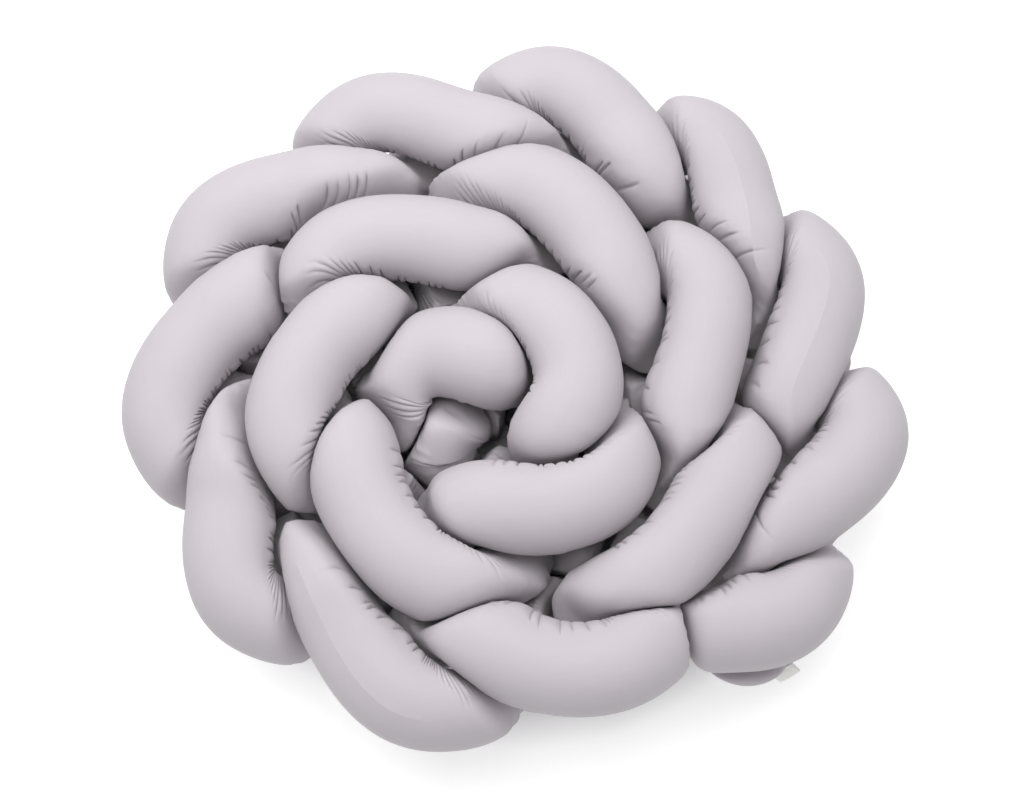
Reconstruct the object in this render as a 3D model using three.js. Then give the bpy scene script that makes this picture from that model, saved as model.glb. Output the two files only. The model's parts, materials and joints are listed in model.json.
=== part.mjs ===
// A braided crib bumper, rolled up on its edge into a rose-shaped coil.
// Three stuffed cotton tubes are plaited into a flat braid. The braid stands on one edge and winds
// clockwise outwards, seen from above, for a little over two and a half turns.
// Millimetres, +Z up. The origin is on the floor, at the middle of the roll's outline.
import * as THREE from 'three';

// Driving dimensions of the tubes and of the plait
const TUBE_RADIUS = 38; // a filled tube where nothing presses on it
const BULGE = 1.2; // the most that a tube swells where it is squeezed elsewhere
const SWING = 30; // how far a tube's axis swings to the outside and to the inside of the roll
const SWING_SKEW = -0.1; // keeps a tube along the braid's edge for longer before it dives
const HOLD = 1.5; // more than 1 keeps a tube high for longer before it dives
const FLOOR_SINK = 6; // how deep the floor flattens the underside of the lowest tubes
const SQUEEZE_GAP = 0.8; // left between two tubes where they press on each other
const OVERLAP = 0.6; // how far a tube pushes aside one that lies lower
const YIELDING = 0.2; // how far the inside of a tube's bend gives way to the outside of another's
const MOST_YIELD = 0.35; // the most that both together take from a tube's half of the room
const SHOULDER = 7; // how tightly a tube rounds from its free side into a pressed one
const END_LENGTH = 30; // over which a tube's sewn end rounds off
const END_BLUNTNESS = 0.7; // 1 makes that end half an ellipsoid, and less makes it fuller

const FULL_RADIUS = BULGE * TUBE_RADIUS;
const LOW_AXIS = TUBE_RADIUS - FLOOR_SINK; // height of a tube's axis where it runs along the floor
const HIGH_AXIS = 130; // height of a tube's axis on a crest

// The eye of the roll, set so that the middle of the outline falls on the origin
const EYE = { x: -26.9, y: -50.3 };

// The crests along the roll's upper edge, from the eye outwards, a row for each.
// turn: degrees clockwise from +Y about the eye.
// radius: from the eye to the braid's middle.
// crest: how far the tube's axis lies above HIGH_AXIS there.
// foot: how far the lower edge lies out from under the upper edge, or in from it where negative.
// swing: how far the tubes swing across the braid there, as a share of SWING.
const CRESTS = [
  { turn: -95, radius: 40, crest: -56, foot: -10, swing: 0.2 },
  { turn: -27, radius: 76, crest: 0, foot: -14, swing: 0.9 },
  { turn: 59, radius: 94, crest: 16, foot: -16, swing: 0.6 },
  { turn: 140, radius: 89, crest: 10, foot: -18, swing: 1 },
  { turn: 228, radius: 118, crest: 8, foot: -20, swing: 0.7 },
  { turn: 292, radius: 156, crest: 12, foot: -20, swing: 0.6 },
  { turn: 336.5, radius: 187, crest: 8, foot: -20, swing: 0.9 },
  { turn: 388, radius: 203, crest: 6, foot: -20, swing: 1 },
  { turn: 431, radius: 201, crest: 4, foot: -20, swing: 1 },
  { turn: 477, radius: 196, crest: 5, foot: -24, swing: 0.45 },
  { turn: 521.5, radius: 211, crest: 8, foot: -60, swing: 0.8 },
  { turn: 570, radius: 201, crest: -2, foot: -52, swing: 1 },
  { turn: 611, radius: 221, crest: -10, foot: -34, swing: 1 },
  { turn: 648.5, radius: 258, crest: -8, foot: -40, swing: 0.9 },
  { turn: 680.5, radius: 280, crest: -6, foot: -26, swing: 1 },
  { turn: 713, radius: 287, crest: -3, foot: -24, swing: 1 },
  { turn: 742, radius: 310, crest: -5, foot: -24, swing: 1 },
  { turn: 766.5, radius: 310, crest: -6, foot: -24, swing: 0.75 },
  { turn: 793.5, radius: 297, crest: -6, foot: -36, swing: 1 },
  { turn: 820, radius: 292, crest: -4, foot: -56, swing: 1 },
  { turn: 850, radius: 251, crest: -8, foot: 48, swing: 0.85 },
  { turn: 869, radius: 257, crest: -8, foot: 48, swing: 1 },
];

// Where each tube begins and ends, counted in crests along the braid
const TUBES = [
  { name: 'tube_a', begins: -0.6, ends: 19.85 },
  { name: 'tube_b', begins: 0.35, ends: 19.98 },
  { name: 'tube_c', begins: 0.4, ends: 20.20 },
];

// The blank label, a ribbon folded in half and sewn by both ends to the side of a tube's rounded end
const LABEL = {
  tube: 1,
  back: 6, // along the tube from its end to the label's middle
  grasp: 4, // along the tube, to either side of that middle, where the seam's direction is taken
  around: 282, // degrees round the tube from its top
  length: 20,
  drop: 13, // from the stitched edge to the fold
  thickness: 0.6,
  parting: 0.6, // between the two leaves
  droop: 30, // degrees that it hangs below square to the tube
  clear: 0.7, // between its stitched edge and the tube
};

const COTTON = 0xbcb6bc;
const RIBBON = 0xf2f0ee;

// Fineness of the solids
const SIDES = 14; // points round a tube
const STEP = 24; // along a tube from one section to the next
const POINTS_PER_CREST = 24;
const NUDGE = 0.01; // in crests, to either side of a place whose direction is measured
const TRACE_STEP = 6; // spacing of the places on an axis that measure how near two tubes come
const BEND_SPAN = 30; // to either side of a place whose bend is measured
const END_RINGS = 5; // sections of a rounded end
const LEAST_REACH = 4; // a tube is never squeezed thinner than this about its axis
const SWELL_PASSES = 4;
const SETTLE_PASSES = 6;
const LABEL_ROWS = 5;
const OWN_CLEARANCE = 3.2 * TUBE_RADIUS; // a tube doesn't press on itself nearer than this along it

// A smooth value through the rows' values of one column, row k lying at parameter k
function through(rows, column, at) {
  const value = (k) => {
    const last = rows.length - 1;
    if (k < 0) return rows[0][column] + k * (rows[1][column] - rows[0][column]);
    if (k > last) return rows[last][column] + (k - last) * (rows[last][column] - rows[last - 1][column]);
    return rows[k][column];
  };
  const k = Math.floor(at);
  const t = at - k;
  const [a, b, c, d] = [value(k - 1), value(k), value(k + 1), value(k + 2)];
  return b + 0.5 * t * (c - a + t * (2 * a - 5 * b + 4 * c - d + t * (3 * (b - c) + d - a)));
}

// A point of the braid's middle line in plan
function braidPlan(at) {
  const turn = THREE.MathUtils.degToRad(through(CRESTS, 'turn', at));
  const radius = through(CRESTS, 'radius', at);
  return new THREE.Vector2(EYE.x + radius * Math.sin(turn), EYE.y + radius * Math.cos(turn));
}

// A point on the axis of one tube of the plait
function axisPoint(strand, at) {
  const plan = braidPlan(at);
  const along = braidPlan(at + NUDGE).sub(braidPlan(at - NUDGE)).normalize();
  const phase = (2 * Math.PI * (at - strand)) / TUBES.length;
  const aloft = 1 - ((1 - Math.cos(phase)) / 2) ** HOLD;
  const wide = SWING * through(CRESTS, 'swing', at);
  const swing = -wide * (Math.sin(2 * phase) + SWING_SKEW * Math.sin(4 * phase));
  const outward = swing + (1 - aloft) * through(CRESTS, 'foot', at);
  const height = LOW_AXIS + aloft * (HIGH_AXIS + through(CRESTS, 'crest', at) - LOW_AXIS);
  return new THREE.Vector3(plan.x - outward * along.y, plan.y + outward * along.x, height);
}

// How an axis bends at a place: a vector to the inside of the bend, as long as one over its radius
function bendAt(curve, length, along) {
  if (along < BEND_SPAN || along > length - BEND_SPAN) return new THREE.Vector3();
  const point = (shift) => curve.getPointAt((along + shift) / length);
  const across = point(BEND_SPAN).add(point(-BEND_SPAN)).addScaledVector(point(0), -2);
  return across.divideScalar(BEND_SPAN ** 2);
}

// The axis of each tube, and places spaced evenly along it
const AXES = TUBES.map(({ begins, ends }, strand) => {
  const parts = Math.ceil((ends - begins) * POINTS_PER_CREST);
  const at = (i) => begins + ((ends - begins) * i) / parts;
  const points = Array.from({ length: parts + 1 }, (_, i) => axisPoint(strand, at(i)));
  const curve = new THREE.CatmullRomCurve3(points);
  curve.arcLengthDivisions = 8 * parts;
  const length = curve.getLength();
  const count = Math.round(length / TRACE_STEP);
  const traceStep = length / count;
  const place = (along) => ({
    along,
    point: curve.getPointAt(along / length),
    bend: bendAt(curve, length, along),
  });
  const trace = Array.from({ length: count + 1 }, (_, i) => place(Math.min(i * traceStep, length)));
  return { curve, length, trace, traceStep, place };
});

// Directions square to the axis: one that looks up and one to its side
function squareTo(tangent) {
  const up = new THREE.Vector3(0, 0, 1).addScaledVector(tangent, -tangent.z).normalize();
  return { up, side: new THREE.Vector3().crossVectors(tangent, up) };
}

// The places on other tubes, and on other turns of this tube, that may press on one place
function pressingPlaces(strand, { along, point }) {
  const isNear = (other) => other.point.distanceTo(point) < 2 * FULL_RADIUS;
  const isApart = (other) => Math.abs(other.along - along) > OWN_CLEARANCE;
  return AXES.flatMap(({ trace }, other) => {
    return trace.filter((place) => isNear(place) && (other !== strand || isApart(place)));
  });
}

// How two places share the room between them. The higher tube takes more of it, and so does the one
// whose bend bulges toward the other. Gives the direction to the other place and the room that way.
function roomToward(place, other) {
  const direction = other.point.clone().sub(place.point);
  const apart = direction.length();
  direction.divideScalar(apart);
  const hollow = ((place.bend.dot(direction) + other.bend.dot(direction)) * TUBE_RADIUS) / 2;
  const lean = OVERLAP * direction.z + YIELDING * hollow;
  const share = 0.5 - THREE.MathUtils.clamp(lean, -MOST_YIELD, MOST_YIELD);
  const room = THREE.MathUtils.clamp(share * apart, apart - FULL_RADIUS, FULL_RADIUS);
  return { direction, room: room - SQUEEZE_GAP / 2 };
}

// How far a tube reaches from its axis in one direction before a neighbour presses on it
function pressedReach(spoke, rooms) {
  let nearest = Infinity;
  for (const { direction, room } of rooms) {
    const facing = direction.dot(spoke);
    if (facing > 0) nearest = Math.min(nearest, room / facing);
  }
  return Math.max(LEAST_REACH, nearest);
}

function girthOf(points) {
  return points.reduce((sum, p, k) => sum + p.distanceTo(points[(k + 1) % points.length]), 0);
}

// One section of a tube, swollen so that the cloth keeps its girth
function section(strand, along, taper) {
  const { curve, length, place } = AXES[strand];
  const middle = place(along);
  const centre = middle.point;
  const { up, side } = squareTo(curve.getTangentAt(along / length));
  const neighbours = pressingPlaces(strand, middle);
  const rooms = neighbours.map((other) => roomToward(middle, other));
  const spokes = Array.from({ length: SIDES }, (_, k) => {
    const angle = (2 * Math.PI * k) / SIDES;
    const direction = up.clone().multiplyScalar(Math.cos(angle)).addScaledVector(side, Math.sin(angle));
    const floor = direction.z < 0 ? centre.z / -direction.z : Infinity;
    return { direction, floor, pressed: pressedReach(direction, rooms) };
  });
  const around = (free) =>
    spokes.map(({ direction, floor, pressed }) => {
      const rounded = (free ** -SHOULDER + pressed ** -SHOULDER) ** (-1 / SHOULDER);
      return centre.clone().addScaledVector(direction, Math.min(rounded, floor));
    });
  const girth = 2 * SIDES * Math.sin(Math.PI / SIDES) * TUBE_RADIUS;
  let free = TUBE_RADIUS;
  for (let pass = 0; pass < SWELL_PASSES; pass++) {
    free = Math.min(FULL_RADIUS, free * Math.sqrt(girth / girthOf(around(free))));
  }
  return { along, centre, neighbours, points: around(free * taper) };
}

function nearestPlace(point, places) {
  const distance = (place) => place.point.distanceToSquared(point);
  return places.reduce((best, place) => (distance(place) < distance(best) ? place : best));
}

// How far a point beside a place on an axis reaches past the room that the place's neighbours leave
function excess(point, place, neighbours) {
  const out = point.clone().sub(place.point);
  return neighbours.reduce((most, other) => {
    const { direction, room } = roomToward(place, other);
    return Math.max(most, out.dot(direction) - room);
  }, 0);
}

// Draws the flat facets of a tube back until none reaches past its room
function settle(strand, rings) {
  const { trace, traceStep } = AXES[strand];
  for (let pass = 0; pass < SETTLE_PASSES; pass++) {
    const pulls = rings.map(() => new Array(SIDES).fill(0));
    for (let i = 0; i + 1 < rings.length; i++) {
      const from = Math.max(0, Math.floor((rings[i].along - TUBE_RADIUS) / traceStep));
      const own = trace.slice(from, Math.ceil((rings[i + 1].along + TUBE_RADIUS) / traceStep) + 1);
      for (let k = 0; k < SIDES; k++) {
        const next = (k + 1) % SIDES;
        const edges = [[i, k, i + 1, k], [i, k, i, next], [i, k, i + 1, next]];
        for (const [r, a, q, b] of edges) {
          const middle = rings[r].points[a].clone().lerp(rings[q].points[b], 0.5);
          const pull = excess(middle, nearestPlace(middle, own), rings[q].neighbours);
          pulls[r][a] = Math.max(pulls[r][a], pull);
          pulls[q][b] = Math.max(pulls[q][b], pull);
        }
      }
    }
    rings.forEach(({ centre, points }, i) => {
      points.forEach((point, k) => {
        const reach = point.distanceTo(centre);
        if (pulls[i][k] > 0 && reach > LEAST_REACH) point.lerp(centre, Math.min(0.5, pulls[i][k] / reach));
      });
    });
  }
}

// The places along a tube where a section is made, and how full the tube is there
function stations(length) {
  const ends = Array.from({ length: END_RINGS }, (_, k) => {
    const lean = ((Math.PI / 2) * (k + 1)) / (END_RINGS + 0.5);
    return { along: END_LENGTH * (1 - Math.cos(lean)), taper: Math.sin(lean) ** END_BLUNTNESS };
  });
  const count = Math.round((length - 2 * END_LENGTH) / STEP);
  const middle = Array.from({ length: count + 1 }, (_, k) => {
    return { along: END_LENGTH + ((length - 2 * END_LENGTH) * k) / count, taper: 1 };
  });
  const mirrored = ends.map(({ along, taper }) => ({ along: length - along, taper })).reverse();
  return [...ends, ...middle, ...mirrored];
}

// A closed surface through rings of points, with a point closing each end
function closedTube(rings, first, last) {
  const vertices = [first, ...rings.flat(), last];
  const triangles = [];
  const at = (ring, k) => 1 + ring * SIDES + (k % SIDES);
  const end = vertices.length - 1;
  for (let k = 0; k < SIDES; k++) {
    triangles.push(0, at(0, k + 1), at(0, k));
    triangles.push(end, at(rings.length - 1, k), at(rings.length - 1, k + 1));
    for (let ring = 0; ring + 1 < rings.length; ring++) {
      triangles.push(at(ring, k), at(ring + 1, k + 1), at(ring + 1, k));
      triangles.push(at(ring, k), at(ring, k + 1), at(ring + 1, k + 1));
    }
  }
  const geometry = new THREE.BufferGeometry().setFromPoints(vertices);
  geometry.setIndex(triangles);
  geometry.computeVertexNormals();
  return geometry;
}

function named(name, geometry, colour) {
  const cloth = new THREE.MeshStandardMaterial({ color: colour, roughness: 0.8, metalness: 0 });
  const mesh = new THREE.Mesh(geometry, cloth);
  mesh.name = name;
  return mesh;
}

const SECTIONS = TUBES.map((_, strand) => {
  const { length } = AXES[strand];
  const sections = stations(length).map(({ along, taper }) => section(strand, along, taper));
  settle(strand, sections);
  return sections;
});

function stuffedTube(strand) {
  const { curve } = AXES[strand];
  const rings = SECTIONS[strand].map((ring) => ring.points);
  return named(TUBES[strand].name, closedTube(rings, curve.getPointAt(0), curve.getPointAt(1)), COTTON);
}

// A point on a finished tube's facets, and the middle of the tube beside it
function onTube(strand, along, degrees) {
  const rings = SECTIONS[strand];
  const after = rings.findIndex((ring) => ring.along > along);
  const [a, b] = [rings[after - 1], rings[after]];
  const blend = (along - a.along) / (b.along - a.along);
  const place = (degrees / 360) * SIDES;
  const k = Math.floor(place);
  const round = (ring) => ring.points[k % SIDES].clone().lerp(ring.points[(k + 1) % SIDES], place - k);
  return { point: round(a).lerp(round(b), blend), middle: a.centre.clone().lerp(b.centre, blend) };
}

// A thin closed sheet through rows of points, thickened to both sides along each column's direction
function thickSheet(grid, directions, thickness) {
  const rows = grid.length;
  const columns = grid[0].length;
  const shifted = (shift) =>
    grid.flatMap((row) => row.map((p, i) => p.clone().addScaledVector(directions[i], shift)));
  const vertices = [...shifted(thickness / 2), ...shifted(-thickness / 2)];
  const at = (face, j, i) => face * rows * columns + j * columns + i;
  const triangles = [];
  const quad = (a, b, c, d) => triangles.push(a, c, b, a, d, c);
  for (let j = 0; j + 1 < rows; j++) {
    for (let i = 0; i + 1 < columns; i++) {
      quad(at(0, j, i), at(0, j, i + 1), at(0, j + 1, i + 1), at(0, j + 1, i));
      quad(at(1, j, i), at(1, j + 1, i), at(1, j + 1, i + 1), at(1, j, i + 1));
    }
    quad(at(0, j, 0), at(0, j + 1, 0), at(1, j + 1, 0), at(1, j, 0));
    quad(at(0, j, columns - 1), at(1, j, columns - 1), at(1, j + 1, columns - 1), at(0, j + 1, columns - 1));
  }
  for (let i = 0; i + 1 < columns; i++) {
    quad(at(0, 0, i), at(1, 0, i), at(1, 0, i + 1), at(0, 0, i + 1));
    quad(at(0, rows - 1, i), at(0, rows - 1, i + 1), at(1, rows - 1, i + 1), at(1, rows - 1, i));
  }
  const geometry = new THREE.BufferGeometry().setFromPoints(vertices);
  geometry.setIndex(triangles);
  geometry.computeVertexNormals();
  return geometry;
}

// The label hangs from the tube's side: one leaf goes out to the fold and the other comes back
function foldedLabel() {
  const { tube, back, grasp, around, length, drop, thickness, parting, droop, clear } = LABEL;
  const along = AXES[tube].length - back;
  const before = onTube(tube, along - grasp, around);
  const after = onTube(tube, along + grasp, around);
  const lengthwise = after.point.clone().sub(before.point).normalize();
  const { point, middle } = onTube(tube, along, around);
  const square = point.clone().sub(middle);
  square.addScaledVector(lengthwise, -square.dot(lengthwise)).normalize();
  const hang = THREE.MathUtils.degToRad(droop);
  const out = square.applyAxisAngle(lengthwise, -hang);
  const aside = new THREE.Vector3().crossVectors(lengthwise, out);
  const bend = (thickness + parting) / 2;
  const leaf = [0, 0.25, 0.5, 0.75, 1].map((t) => t * (drop - bend));
  const fold = [30, 60, 90, 120, 150].map(THREE.MathUtils.degToRad);
  const path = [
    ...leaf.map((far) => ({ far, side: bend, lean: 0 })),
    ...fold.map((lean) => ({ far: drop - bend + bend * Math.sin(lean), side: bend * Math.cos(lean), lean })),
    ...leaf.reverse().map((far) => ({ far, side: -bend, lean: Math.PI })),
  ];
  const start = (clear + (bend + thickness / 2) * Math.sin(hang)) / Math.cos(hang);
  const grid = Array.from({ length: LABEL_ROWS }, (_, j) => {
    const root = point.clone().addScaledVector(lengthwise, length * (j / (LABEL_ROWS - 1) - 0.5));
    return path.map(({ far, side }) =>
      root.clone().addScaledVector(out, start + far).addScaledVector(aside, side),
    );
  });
  const facing = path.map(({ lean }) =>
    aside.clone().multiplyScalar(Math.cos(lean)).addScaledVector(out, Math.sin(lean)),
  );
  return named('label', thickSheet(grid, facing, thickness), RIBBON);
}

const bumper = new THREE.Group();
TUBES.forEach((_, strand) => bumper.add(stuffedTube(strand)));
bumper.add(foldedLabel());

export default bumper;
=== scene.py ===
"""A braided crib bumper, rolled up on its edge into a rose-shaped coil.

Three stuffed cotton tubes run through the plait. Where a tube meets its neighbour on the inside of the roll,
its cloth gathers into creases. A blank ribbon label is sewn to one tube near its outer end.
Metres, +Z up. The origin is on the floor, at the middle of the roll's outline.
"""

import json
import math
from collections import namedtuple

import bpy
import numpy as np
from bpy.props import FloatProperty, FloatVectorProperty, IntProperty, PointerProperty
from mathutils import Matrix, Vector


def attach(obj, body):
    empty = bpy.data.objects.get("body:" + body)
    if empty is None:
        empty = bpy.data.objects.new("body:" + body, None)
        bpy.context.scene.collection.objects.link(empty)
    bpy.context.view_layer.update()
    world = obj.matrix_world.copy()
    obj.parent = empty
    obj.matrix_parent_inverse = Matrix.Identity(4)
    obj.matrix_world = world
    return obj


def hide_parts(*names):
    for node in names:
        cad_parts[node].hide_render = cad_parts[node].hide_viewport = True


bl_info = {
    "name": "Braided crib bumper",
    "version": (1, 0, 0),
    "blender": (4, 5, 0),
    "location": "View3D > Sidebar > Bumper",
    "description": "Dresses a rolled braided crib bumper in gathered cotton",
    "category": "Object",
}

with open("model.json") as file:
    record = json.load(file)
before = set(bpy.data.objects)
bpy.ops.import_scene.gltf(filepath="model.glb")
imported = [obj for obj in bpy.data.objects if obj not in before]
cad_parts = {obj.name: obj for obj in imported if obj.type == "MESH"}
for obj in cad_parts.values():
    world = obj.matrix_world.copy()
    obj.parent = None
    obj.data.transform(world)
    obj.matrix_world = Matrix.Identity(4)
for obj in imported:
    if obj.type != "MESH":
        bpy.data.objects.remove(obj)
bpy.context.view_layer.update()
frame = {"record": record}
BODY = "root"
COLOURS = {row["slot"]: tuple(row["base_color"][:3]) for row in frame["record"]["materials"]}

# The crests along the roll's upper edge, from the eye outwards, a row for each.
# turn: degrees clockwise from +Y about the eye.
# radius: from the eye to the braid's middle.
# crest: how far the tube's axis lies above the braid's usual height there.
# foot: how far the lower edge lies out from under the upper edge, or in from it where negative.
# swing: how far the tubes swing across the braid there, as a share of the usual swing.
Crest = namedtuple("Crest", "turn radius crest foot swing")
CRESTS = [
    Crest(-95, 0.040, -0.056, -0.010, 0.2),
    Crest(-27, 0.076, 0.000, -0.014, 0.9),
    Crest(59, 0.094, 0.016, -0.016, 0.6),
    Crest(140, 0.089, 0.010, -0.018, 1.0),
    Crest(228, 0.118, 0.008, -0.020, 0.7),
    Crest(292, 0.156, 0.012, -0.020, 0.6),
    Crest(336.5, 0.187, 0.008, -0.020, 0.9),
    Crest(388, 0.203, 0.006, -0.020, 1.0),
    Crest(431, 0.201, 0.004, -0.020, 1.0),
    Crest(477, 0.196, 0.005, -0.024, 0.45),
    Crest(521.5, 0.211, 0.008, -0.060, 0.8),
    Crest(570, 0.201, -0.002, -0.052, 1.0),
    Crest(611, 0.221, -0.010, -0.034, 1.0),
    Crest(648.5, 0.258, -0.008, -0.040, 0.9),
    Crest(680.5, 0.280, -0.006, -0.026, 1.0),
    Crest(713, 0.287, -0.003, -0.024, 1.0),
    Crest(742, 0.310, -0.005, -0.024, 1.0),
    Crest(766.5, 0.310, -0.006, -0.024, 0.75),
    Crest(793.5, 0.297, -0.006, -0.036, 1.0),
    Crest(820, 0.292, -0.004, -0.056, 1.0),
    Crest(850, 0.251, -0.008, 0.048, 0.85),
    Crest(869, 0.257, -0.008, 0.048, 1.0),
]
EYE = (-0.0269, -0.0503)

# Where each tube begins and ends, counted in crests along the braid
Tube = namedtuple("Tube", "name begins ends")
TUBES = [
    Tube("tube_a", -0.6, 19.85),
    Tube("tube_b", 0.35, 19.98),
    Tube("tube_c", 0.4, 20.20),
]

LABELLED = 1  # the tube that carries the label

# Where a tube's long seam shows, a row for each crest that shows it.
# begins, ends: counted in crests along the braid.
# degrees: round the tube from its top, toward the inside of the roll.
# ridge: how far the seam stands out.
Seam = namedtuple("Seam", "tube begins ends degrees ridge")
SEAMS = [
    Seam("tube_c", 10.6, 11.4, 330, 0.0005),
    Seam("tube_c", 16.5, 17.5, 0, 0.0013),
    Seam("tube_a", 17.6, 18.5, 0, 0.0006),
]

# The creases where a tube's cloth gathers on the inside of the roll, a row for each kind.
# nearest, furthest: between two creases along the tube.
# short, long: how far a crease runs up from the line where the tube meets its neighbour.
# shallow, deep: how far it sinks there.
# Each crease draws its values at random between each two of these.
Gather = namedtuple("Gather", "nearest furthest short long shallow deep")
ON_CRESTS = Gather(0.005, 0.022, 0.004, 0.013, 0.0014, 0.0036)
ON_RISES = Gather(0.0035, 0.008, 0.003, 0.011, 0.0010, 0.0026)
MOSTLY_SHORT = 2  # more than 1 makes most creases short
MOSTLY_NEAR = 1.5  # more than 1 sets most creases close to the one before

UP = np.array([0.0, 0.0, 1.0])
FAR = 1.0  # a reach that nothing limits
TINY = 1e-6  # keeps a divisor from being 0

# How finely the tubes are measured and made
POINTS_PER_CREST = 400
NUDGE = 0.01  # in crests, to either side of a place whose direction is measured
MARGIN = 3  # rows by which a table is carried on past its ends
GATHERED_SIDE = np.radians([35, 112])  # from the top to where points lie close, on the inside of the roll
TOP_POINTS = 6  # points from the top to there
GATHERED_POINTS = 32  # points there
OTHER_POINTS = 20  # points round the rest of a tube
SMOOTH_STEP = 0.005  # along a tube from one ring of points to the next, where no crease is
CREASE_RINGS = np.array([-0.0022, -0.0007, 0, 0.0007, 0.0022])  # from a crease to the rings about it
LEAST_STEP = 0.0004  # from one ring to the next, at least
END_RINGS = 16  # rings of a rounded end
TRACE_STEP = 0.002  # spacing of the axis points that measure how near two tubes come
BEND_SPAN = 0.030  # to either side of a place whose bend is measured

# How a tube is pressed and swells
OWN_CLEARANCE = 3.2  # in tube radii, along a tube to where it may press on itself
BEND_SHARE = 0.75  # the most of a bend's radius that a tube fills toward its inside
LEAST_REACH = 0.004  # a tube is never squeezed thinner than this about its axis
SWELL_PASSES = 4  # rounds of swelling, each of which brings the tube nearer to its girth
SWELL_SPREAD = 0.050  # length of tube over which a swelling comes and goes

# Where the cloth is creased
CREASED_ABOVE = 0.070  # height of an axis whose tube may show a crease
CLIMB = 0.15  # slope of an axis that rises to a crest
DIVE = -0.30  # slope of an axis that goes down from one, where the cloth is drawn smooth
CREASE_WIDTH = 0.0006  # along the tube to where a crease is about a third as deep
FREE_SHARE = 0.8  # depth of a crease where no neighbour holds the cloth, as a share of its usual depth
MET = 0.91  # how closely a tube is pressed along the line where it meets its neighbour
FURTHEST_MEETING = np.radians(76)  # from the top round to that line, at most, at the roll's left and right
FURTHER_BEHIND = np.radians(24)  # more than that at the roll's far side, and less at its near side
MEETING_SPREAD = 0.016  # length of tube over which that line is evened
UNDER = np.radians(50)  # past that line to where the creases have run out

# The cloth's unevenness and its long seams
NOISE_STEP = 0.002  # along a tube from one value of a noise to the next
NOISE_SIDES = 32  # values of a noise round a tube
LUMP_SPREAD = (0.040, 0.6)  # size of the filling's lumps along a tube, and round it in radians
WANDER_SPREAD = (0.012, 0.35)  # the same for how the creases stray
SEAM_FADE = 0.12  # in crests, over which a seam's ridge comes and goes
SEAM_SPREAD = 0.006  # how far from a seam the cloth still rises to it
CLOTH_CLEARANCE = 0.0003  # kept by the cloth from the room that a neighbour takes
SLIDE_FADE = 0.030  # from a tube's end to where its creases may wander

# The label and the stage
LABEL_ROWS = 13  # rows of points along the label
LEAF_POINTS = 10  # points from its stitched edge to where its fold begins
FOLD_POINTS = 7  # points round the fold
STITCH_POINT = 3  # the point of a leaf that its stitches cross, counted from 0 at its edge
LEAF_SWELL = 0.7  # how much further apart the leaves are halfway down than at their sewn edge, as a share
CURL = 0.0012  # how far the label's fold waves out of a plane
CURL_WAVE = (0.3, 2.6)  # radians of that wave at the label's two ends
FLOOR_HALF = 6.0  # from its middle to its sides
SENSOR_WIDTH = 36  # of the camera, in millimetres


class BraidSizes(bpy.types.PropertyGroup):
    """Sizes of the plait, as the solids have them"""

    tube_radius: FloatProperty(name="Tube radius", description="A filled tube where nothing presses on it",
                               default=0.038, unit="LENGTH")
    bulge: FloatProperty(name="Bulge", description="The most that a tube squeezed elsewhere swells",
                         default=1.2)
    swing: FloatProperty(name="Swing", description="How far a tube's axis swings across the braid",
                         default=0.030, unit="LENGTH")
    swing_skew: FloatProperty(name="Swing skew", description="Keeps a tube along the edge before it dives",
                              default=-0.1)
    hold: FloatProperty(name="Hold", description="More than 1 keeps a tube high for longer before it dives",
                        default=1.5)
    floor_sink: FloatProperty(name="Floor sink", description="How deep the floor flattens the lowest tubes",
                              default=0.006, unit="LENGTH")
    high_axis: FloatProperty(name="High axis", description="Height of a tube's axis on a crest",
                             default=0.130, unit="LENGTH")
    squeeze_gap: FloatProperty(name="Squeeze gap", description="Left between two tubes that press together",
                               default=0.0008, unit="LENGTH")
    overlap: FloatProperty(name="Overlap", description="How far a tube pushes aside one that lies lower",
                           default=0.6)
    yielding: FloatProperty(name="Yielding", description="How far a bend's inside gives way to an outside",
                            default=0.2)
    most_overlap: FloatProperty(name="Most overlap", description="The most that it is pushed aside",
                                default=0.35)
    shoulder: FloatProperty(name="Shoulder", description="How tightly a tube rounds into a pressed side",
                            default=7.0)
    end_length: FloatProperty(name="End length", description="Over which a sewn end rounds off",
                              default=0.030, unit="LENGTH")
    end_bluntness: FloatProperty(name="End bluntness", description="Less than 1 makes a sewn end fuller",
                                 default=0.7)


class ClothSizes(bpy.types.PropertyGroup):
    """How the cloth of the tubes gathers"""

    lumps: FloatProperty(name="Lumps", description="Unevenness of the filling", default=0.0006, unit="LENGTH")
    puff: FloatProperty(name="Puff", description="How far the cloth stands out between two creases",
                        default=0.0012, unit="LENGTH")
    puff_run: FloatProperty(name="Puff run", description="How far up the cloth it still puffs out",
                            default=0.009, unit="LENGTH")
    wander: FloatProperty(name="Wander", description="How far a crease strays along the tube",
                          default=0.0022, unit="LENGTH")
    seed: IntProperty(name="Seed", description="Sets where the creases and the lumps lie", default=11)
    colour: FloatVectorProperty(name="Cotton", description="Colour of the tubes' cloth",
                                default=COLOURS["cotton"], subtype="COLOR")


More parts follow.
